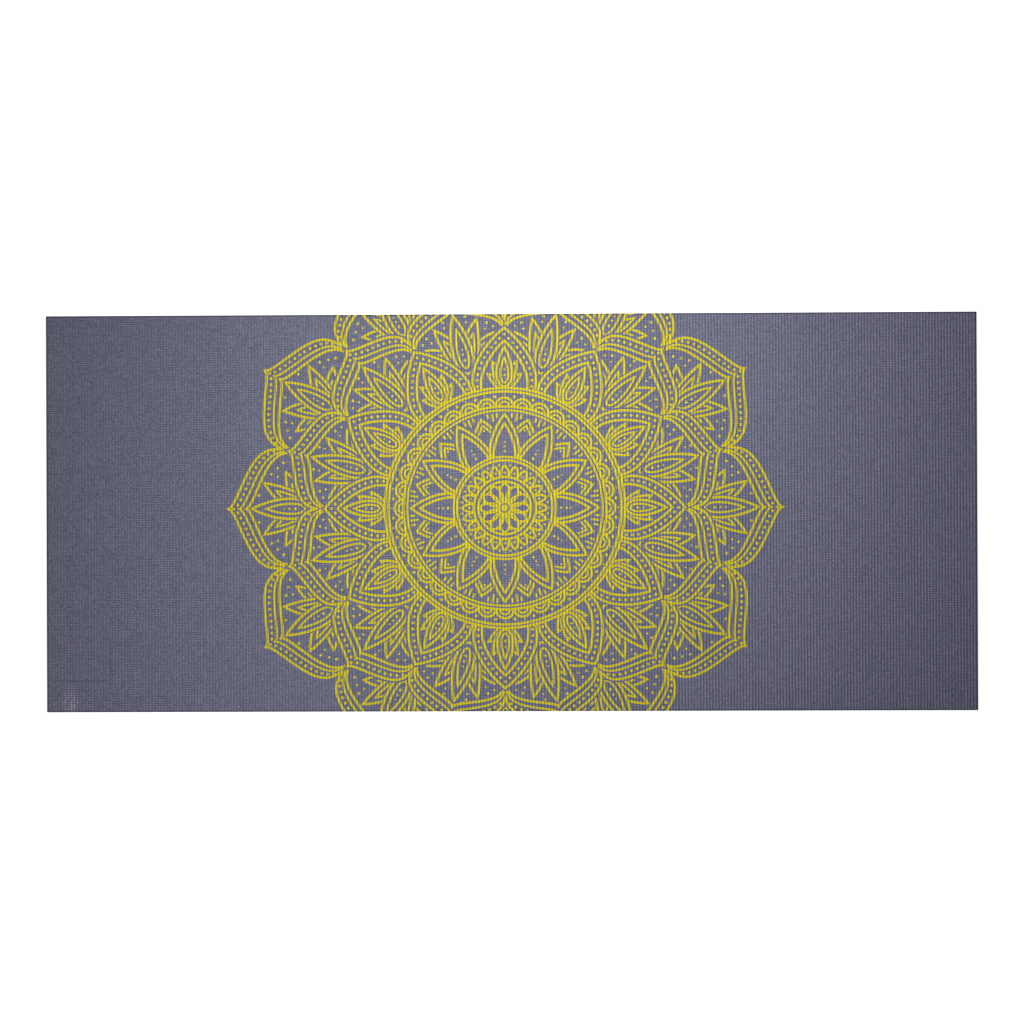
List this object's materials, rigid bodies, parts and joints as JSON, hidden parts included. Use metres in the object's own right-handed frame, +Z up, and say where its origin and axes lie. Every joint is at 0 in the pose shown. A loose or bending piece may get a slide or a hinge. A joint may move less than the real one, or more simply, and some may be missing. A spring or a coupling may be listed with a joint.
{
  "type": "yoga mat",
  "caption": "Flat exercise mat of ribbed foam on a woven scrim, unrolled on the floor, with a line-drawn mandala printed across its middle.",
  "frame": {"origin": "middle of the flat underside, on the floor", "axes": "+X along the mat's length, +Y across its width, +Z up through its thickness to the printed face"},
  "size_m": [1.83, 0.781, 0.006],
  "materials": {
    "foam": "matte ribbed foamed PVC",
    "scrim": "plain polyester yarn",
    "ink": "matte screen-printing ink"
  },
  "bodies": {
    "root": {"foam_lower_coat": "foam", "scrim_net": "scrim", "foam_upper_coat": "foam", "print_rosette": "ink", "print_inner_scallops": "ink", "print_lotus": "ink", "print_outer_scallops": "ink", "print_bloom": "ink", "print_crown_left": "ink", "print_crown_right": "ink", "print_rim_left": "ink", "print_rim_right": "ink"}
  },
  "joints": []
}
